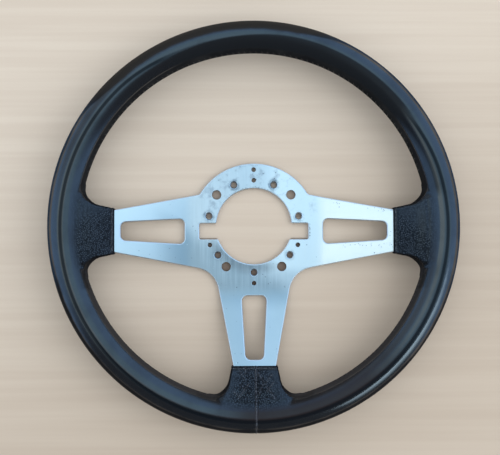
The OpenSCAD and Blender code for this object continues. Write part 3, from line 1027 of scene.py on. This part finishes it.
def broken_edges(mesh):
    """A copy of the mesh with its weighted edges broken, and the new faces in material slot 1."""
    piece = placed("spoke_sheet_blank", mesh)
    mesh.materials.append(None)
    mesh.materials.append(None)
    broken = piece.modifiers.new("broken_edges", "BEVEL")
    broken.width = EDGE_BREAK * MM
    broken.segments = 3
    broken.limit_method = "WEIGHT"
    broken.use_clamp_overlap = False
    broken.miter_outer = "MITER_ARC"
    broken.material = 1
    flat = piece.modifiers.new("flat_faces", "WEIGHTED_NORMAL")
    flat.mode = "FACE_AREA"
    flat.weight = 100
    flat.keep_sharp = False
    return made_mesh(piece, "spoke_sheet")


def mark_faces(mesh, label, marks):
    """Write one number on each face for a material to read."""
    mesh.attributes.new(label, "FLOAT", "FACE").data.foreach_set("value", [float(mark) for mark in marks])


def spoke_sheet():
    """The folded plate with its sharp edges broken."""
    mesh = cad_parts["spoke_plate"].data.copy()
    work = bmesh.new()
    work.from_mesh(mesh)
    bmesh.ops.remove_doubles(work, verts=work.verts, dist=0.001 * MM)
    bmesh.ops.dissolve_limit(
        work, angle_limit=radians(0.2), verts=work.verts, edges=work.edges, delimit=set()
    )
    ease_folds(work)
    weigh_edges(work)
    work.to_mesh(mesh)
    work.free()
    mesh.polygons.foreach_set("use_smooth", [True] * len(mesh.polygons))
    made = broken_edges(mesh)
    bent_normals(made)
    # The broken edges are marked for a painted highlight
    mark_faces(made, "rubbed", [p.material_index for p in made.polygons])
    # The side walls are marked for a painted shade
    mark_faces(made, "cut", [abs(p.normal.z) < 0.3 and not p.material_index for p in made.polygons])
    made.polygons.foreach_set("material_index", [0] * len(made.polygons))
    return made


plate = keep("spoke_sheet", spoke_sheet(), ALUMINIUM)
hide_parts("spoke_plate")

# ---- Laced seams ----


class Laces(Sheet):
    """A Geometry Nodes tree that lays one thread many times over a seam."""

    def __init__(self, name, inputs):
        super().__init__(bpy.data.node_groups.new(name, "GeometryNodeTree"))
        face = self.tree.interface
        face.new_socket("Geometry", in_out="OUTPUT", socket_type="NodeSocketGeometry")
        self.inputs = {}
        for key, (kind, value) in inputs.items():
            socket = face.new_socket(key, in_out="INPUT", socket_type=kind)
            socket.default_value = value
            self.inputs[key] = socket.identifier
        self.group_in = self.tree.nodes.new("NodeGroupInput")

    def given(self, key):
        return Sock(self, self.group_in.outputs[key])

    def close(self, geometry, material):
        real = self.node("GeometryNodeRealizeInstances", None, {0: geometry})
        done = self.node("GeometryNodeSetMaterial", None, {0: real, "Material": material})
        self.node("NodeGroupOutput", None, {0: done})

    def mesh(self, name, **values):
        """The tree's result as a plain mesh."""
        carrier = placed(name, bpy.data.meshes.new(name))
        modifier = carrier.modifiers.new("laces", "NODES")
        modifier.node_group = self.tree
        for key, value in values.items():
            modifier[self.inputs[key.replace("_", " ")]] = value
        return made_mesh(carrier, name)


FLOAT, WHOLE = "NodeSocketFloat", "NodeSocketInt"


def thread_line(t):
    """A line of points to bend into a thread, and each point's place along it from -1 to 1."""
    line = t.node("GeometryNodeCurvePrimitiveLine", None, {"Start": (0, 0, 0), "End": (0, 0, 1)})
    fine = t.node("GeometryNodeResampleCurve", None, {"Curve": line, "Count": 10})
    return fine, t.node("GeometryNodeSplineParameter") * 2.0 - 1.0


def sunk(t, centred, power):
    """How deep a thread lies at each point: its ends dip into the leather."""
    return abs(centred) ** power * (t.given("Thread") * THREAD_DIP)


def thread_tube(t, line, at):
    """A round thread along the line, once its points have moved to their places."""
    curve = t.node("GeometryNodeSetPosition", None, {"Geometry": line, "Position": at})
    values = {"Resolution": 6, "Radius": t.given("Thread") * 0.5}
    ring = t.node("GeometryNodeCurvePrimitiveCircle", None, values)
    return t.node(
        "GeometryNodeCurveToMesh", None, {"Curve": curve, "Profile Curve": ring, "Fill Caps": True}
    )


def places(t):
    """A point for each thread, and how far along the seam each one is."""
    points = t.node("GeometryNodePoints", None, {"Count": t.given("Count"), "Position": (0, 0, 0)})
    return points, t.node("GeometryNodeInputIndex") * t.given("Pitch")


def rim_lace_tree():
    """Threads over the seam along the rim's innermost line."""
    t = Laces("rim_laces", {
        "First": (FLOAT, 0.0), "Pitch": (FLOAT, 0.03), "Count": (WHOLE, 10),
        "Ring radius": (FLOAT, 0.16), "Ring height": (FLOAT, 0.02),
        "Bend radius": (FLOAT, 0.014), "Half angle": (FLOAT, 0.38),
        "Slant": (FLOAT, 0.003), "Thread": (FLOAT, 0.0009),
    })
    line, centred = thread_line(t)
    turn = centred * t.given("Half angle")
    r = t.given("Bend radius") - sunk(t, centred, 8.0)
    # Out of the section is -X, round it is Z, and the slant runs along Y
    across, round_it = turn.sum_of("COSINE", turn) * r, turn.sum_of("SINE", turn) * r
    thread = thread_tube(t, line, t.vector(-across, centred * (t.given("Slant") * 0.5), round_it))
    on_rim = t.vector(t.given("Ring radius"), 0.0, t.given("Ring height"))
    ready = t.node("GeometryNodeTransform", None, {"Geometry": thread, "Translation": on_rim})
    points, step = places(t)
    values = {"Points": points, "Instance": ready, "Rotation": t.vector(0.0, 0.0, step + t.given("First"))}
    t.close(t.node("GeometryNodeInstanceOnPoints", None, values), THREAD)
    return t


def boot_lace_tree():
    """Threads over the seam down the middle of a boot's back."""
    t = Laces("boot_laces", {
        "Pitch": (FLOAT, 0.004), "Count": (WHOLE, 6), "Half width": (FLOAT, 0.003),
        "Slant": (FLOAT, 0.002), "Thread": (FLOAT, 0.0009),
    })
    line, centred = thread_line(t)
    slanted = centred * (t.given("Slant") * 0.5)
    thread = thread_tube(t, line, t.vector(slanted, centred * t.given("Half width"), sunk(t, centred, 6.0)))
    points, step = places(t)
    values = {"Geometry": points, "Position": t.vector(step, 0.0)}
    moved = t.node("GeometryNodeSetPosition", None, values)
    t.close(t.node("GeometryNodeInstanceOnPoints", None, {"Points": moved, "Instance": thread}), THREAD)
    return t


def seam_clear(offset):
    """Degrees from a spoke's direction to where the seam clears its boot, on one side."""
    return degrees(asin((BASE_HALF + FLARE_R + offset) / INNER_R))


rim_runs = {
    "upper_rim": (seam_clear(SIDE_DROP), 180 - seam_clear(SIDE_DROP)),
    "lower_left_rim": (180 + seam_clear(-SIDE_DROP), 270 - seam_clear(0)),
    "lower_right_rim": (seam_clear(0) - 90, -seam_clear(-SIDE_DROP)),
}
rim_laces = rim_lace_tree()
for run, (start, end) in rim_runs.items():
    count = int((end - start) / LACE_PITCH_DEG)
    spare = (end - start - (count - 1) * LACE_PITCH_DEG) / 2
    mesh = rim_laces.mesh(
        run + "_laces",
        First=radians(start + spare), Pitch=radians(LACE_PITCH_DEG), Count=count,
        Ring_radius=RING_R * MM, Ring_height=RIM_Z * MM,
        Bend_radius=(GRIP_R - LACE_DEPTH) * MM, Half_angle=radians(HOLE_DEG),
        Slant=LACE_SLANT * MM, Thread=THREAD_D * MM,
    )
    laces = keep(run + "_laces", mesh, THREAD)
    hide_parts(run + "_stitching")

boot_laces = boot_lace_tree()
for spoke, (turn, drop) in SPOKES.items():
    mesh = boot_laces.mesh(
        spoke + "_boot_laces",
        Pitch=BOOT_LACE_PITCH * MM, Count=BOOT_LACE_COUNT, Half_width=BOOT_LACE_HALF * MM,
        Slant=BOOT_LACE_SLANT * MM, Thread=THREAD_D * MM,
    )
    tilt = -atan(BACK_RISE)
    first = Vector((MOUTH_R + BOOT_LACE_FROM, 0, BACK_Z + BOOT_LACE_FROM * BACK_RISE - THREAD_D / 2)) * MM
    mesh.transform(
        Matrix.Translation((0, drop * MM, 0))
        @ Matrix.Rotation(radians(turn), 4, "Z")
        @ Matrix.Translation(first)
        @ Matrix.Rotation(tilt, 4, "Y")
    )
    laces = keep(spoke + "_boot_laces", mesh, THREAD)
    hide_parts(spoke + "_boot_stitching")

# ---- Finishes of the CAD pieces inside the rim ----

finishes = {"rim_hoop": STEEL}
for spoke in SPOKES:
    finishes[spoke + "_lug"] = STEEL
    finishes[spoke + "_rivets"] = RIVET
for node, finish in finishes.items():
    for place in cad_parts[node].material_slots:
        place.material = finish

# ---- Floor, world, lamps and camera ----

FLOOR_HALF = 6.0  # in metres
floor_mesh = bpy.data.meshes.new("floor")
floor_mesh.from_pydata(
    [(sx * FLOOR_HALF, sy * FLOOR_HALF, 0) for sx, sy in ((-1, -1), (1, -1), (1, 1), (-1, 1))],
    [], [(0, 1, 2, 3)],
)
floor = placed("floor", floor_mesh)


def floor_look(s, place):
    """Plain pale board, with the faint lines of its corrugations, painted lighter towards the upper left and
    painted darker under the hub.
    """
    x, y, _ = s.parts(place)
    # Painted light: the board is brighter towards the upper left
    painted_light_ramp = s.smooth(0.91 * y - 0.42 * x, -0.16, 0.20)
    ribs = s.smooth(s.noise(s.place(place, (2.5, 95, 1)), 1.0, 3.0, 0.6), 0.3, 0.7)
    hollows = s.mix(painted_light_ramp, (0.572, 0.506, 0.436), (0.736, 0.676, 0.604))
    crests = s.mix(painted_light_ramp, (0.614, 0.552, 0.480), (0.791, 0.738, 0.665))
    # Painted shade darkens it under the hub, where only the plate's holes show it, but not in the notches
    under = s.near(s.length2(x, y) - 45 * MM, 11 * MM, 9 * MM)
    under = under * s.near(y + 1.2 * MM, 8.8 * MM, 9.6 * MM)
    base = s.layered(
        s.mix(ribs, hollows, crests),
        (s.noise(place, 500, 2.0) * 0.10, (0.58, 0.52, 0.45)),
        (under * (0.6 - 5 * y), (0.16, 0.115, 0.095)),
    )
    return {"Base Color": base, "Roughness": 0.9}


floor_mesh.materials.append(finish_of("pale_board", floor_look, Specular_IOR_Level=0.1))


def direction(azimuth, zenith):
    """The way to a place in the sky, by degrees round from +X and down from +Z."""
    a, e = radians(azimuth), radians(zenith)
    return cos(a) * sin(e), sin(a) * sin(e), cos(e)


world = bpy.data.worlds.new("studio")
bpy.context.scene.world = world
world.use_nodes = True
w = Sheet(world.node_tree)
towards = w.node("ShaderNodeTexCoord", None, None, "Generated")


def lobe(azimuth, zenith, inner, outer):
    """1 within inner degrees of a direction, 0 beyond outer degrees."""
    near = w.node(
        "ShaderNodeVectorMath", {"operation": "DOT_PRODUCT"}, {0: towards, 1: direction(azimuth, zenith)}, 1
    )
    return w.smooth(near, cos(radians(outer)), cos(radians(inner)))


# What polished faces mirror, and behind it what lights the rest
sky = w.layered(
    (0.46, 0.82, 1.38),
    (lobe(0, 0, 24, 42), (0.60, 1.03, 1.40)),
    (lobe(102, 98, 24, 46), (0.16, 0.16, 0.165)),
    (lobe(140, 58, 10, 30), (0.42, 0.56, 0.72)),
    (lobe(270, 66, 50, 66), (0.075, 0.09, 0.11)),
    (lobe(180, 17, 9, 18), (1.06, 1.36, 1.50)),
)
plain_air = w.mix(lobe(60, 20, 25, 78), (0.55, 0.545, 0.53), (1.06, 1.05, 1.03))
light_path = w.node("ShaderNodeLightPath").out.node.outputs
glossy, camera_ray = Sock(w, light_path["Is Glossy Ray"]), Sock(w, light_path["Is Camera Ray"])
seen = w.layered(plain_air, (glossy, sky), (camera_ray, (0.80, 0.78, 0.75)))
glow = w.node("ShaderNodeBackground", None, {0: seen, 1: 1.0})
w.node("ShaderNodeOutputWorld", None, {0: glow})


def area_lamp(name, azimuth, zenith, distance, size, power, colour):
    """A soft square lamp that faces the wheel's middle."""
    light = bpy.data.lights.new(name, "AREA")
    light.shape, light.size, light.energy, light.color = "SQUARE", size, power, colour
    lamp = placed(name, light)
    away = Vector(direction(azimuth, zenith))
    lamp.location = away * distance
    lamp.rotation_euler = away.to_track_quat("Z", "Y").to_euler()
    lamp.visible_glossy = False
    return lamp


area_lamp("key", -5, 50, 1.6, 1.2, 6.0, (1.0, 0.98, 0.95))
# A low window at the wheel's lower right, turned down; it is seen only mirrored in polished faces
window = area_lamp("low_window", -38, 78, 0.40, 0.29, 0.195, (0.62, 0.84, 1.0))
window.visible_glossy, window.visible_diffuse, window.visible_camera = True, False, False
window.data.spread = radians(68)
window.rotation_euler = Vector(direction(-38, 40)).to_track_quat("Z", "Y").to_euler()

camera_data = bpy.data.cameras.new("camera")
camera_data.sensor_width = 36.0
camera_data.lens = 57.6
camera = placed("camera", camera_data)
camera.location = (-0.0164, -0.0248, 0.7245)
camera.rotation_euler = (radians(1.89), radians(-1.02), radians(-0.20))
bpy.context.scene.camera = camera

bpy.context.scene.view_settings.view_transform = "Standard"
